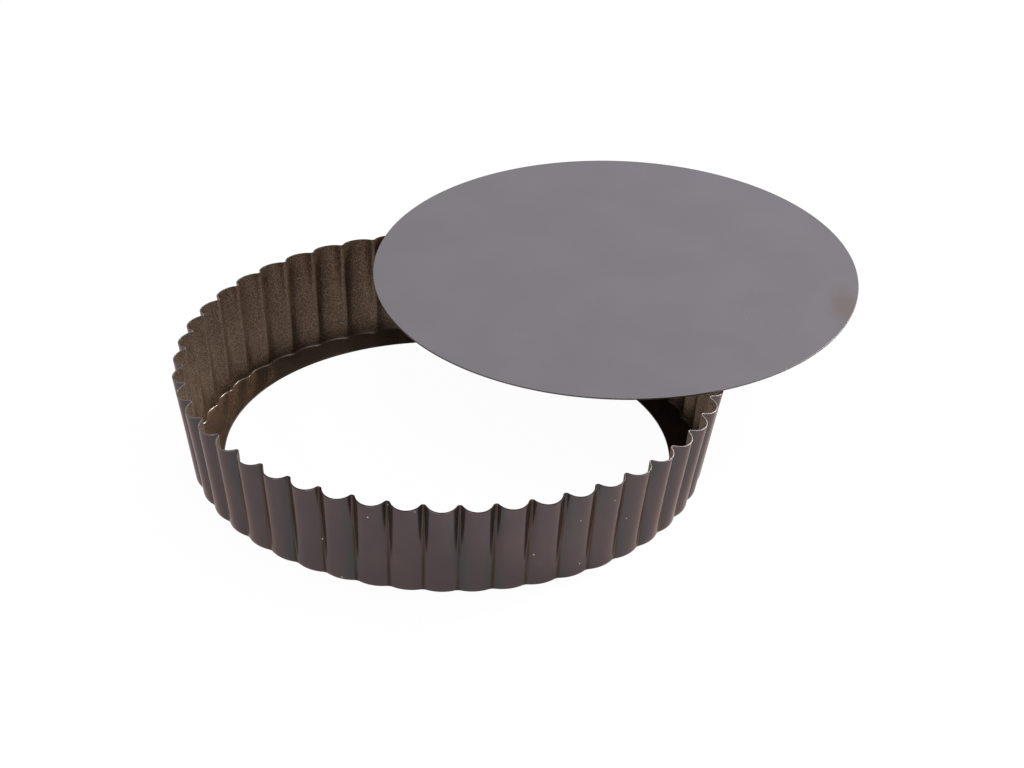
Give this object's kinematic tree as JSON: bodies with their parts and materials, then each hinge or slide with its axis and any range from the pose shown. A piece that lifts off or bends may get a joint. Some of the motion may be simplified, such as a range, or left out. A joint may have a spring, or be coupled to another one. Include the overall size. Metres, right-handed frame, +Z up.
{
  "type": "tart pan",
  "caption": "Deep fluted tart ring with an inward flange at its foot, and a flat loose base lying across its rim.",
  "frame": {"origin": "centre of the flange opening, on the plane that the ring stands on", "axes": "+Z up along the ring's axis; +X to the right, through a flute's crest; +Y to the back. The loose base lies off towards +X and +Y"},
  "size_m": [0.3283, 0.3378, 0.0508],
  "materials": {
    "ring_lacquer": "glossy dark brown lacquer outside, speckled satin brown-grey release coat inside, bare cut rim",
    "base_coating": "satin warm grey release coat, bare cut edge"
  },
  "bodies": {
    "ring": {"fluted_ring": "ring_lacquer"},
    "base": {"loose_base": "base_coating"}
  },
  "joints": [
    {"name": "base_lift", "type": "slide", "parent": "ring", "child": "base", "axis": [0, 0, 1], "range_m": [0, 0.1]}
  ]
}
